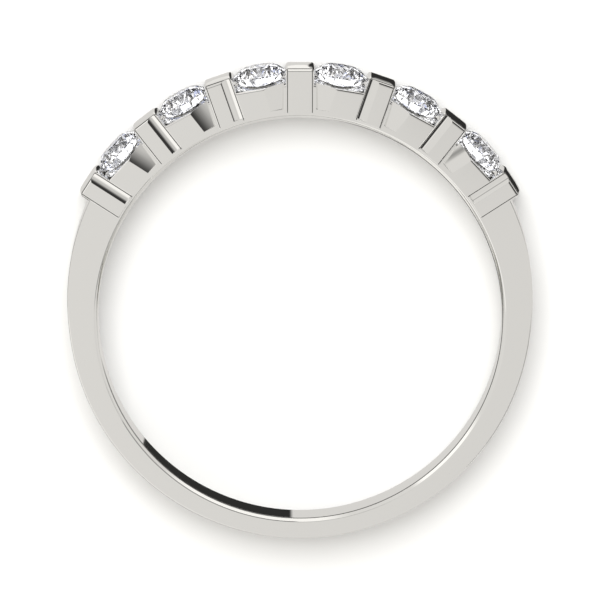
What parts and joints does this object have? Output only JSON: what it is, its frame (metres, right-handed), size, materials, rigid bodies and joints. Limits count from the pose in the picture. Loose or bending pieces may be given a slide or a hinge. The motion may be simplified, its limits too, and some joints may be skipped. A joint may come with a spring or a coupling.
{
  "type": "bar set band ring",
  "caption": "Finger ring whose top carries a row of round stones held between crossbars over a scooped gallery, on a plain tapered shank.",
  "frame": {"origin": "centre of the finger hole, halfway across the band's width", "axes": "+Z along the finger, towards the side face that the picture shows; +Y from the centre of the hole towards the middle of the stone row; +X to the picture's right"},
  "size_m": [0.0198, 0.0204, 0.0024],
  "materials": {
    "white_gold": "polished",
    "diamond": "polished facets"
  },
  "bodies": {
    "root": {"band": "white_gold", "stone_1": "diamond", "stone_2": "diamond", "stone_3": "diamond", "stone_4": "diamond", "stone_5": "diamond", "stone_6": "diamond"}
  },
  "joints": []
}
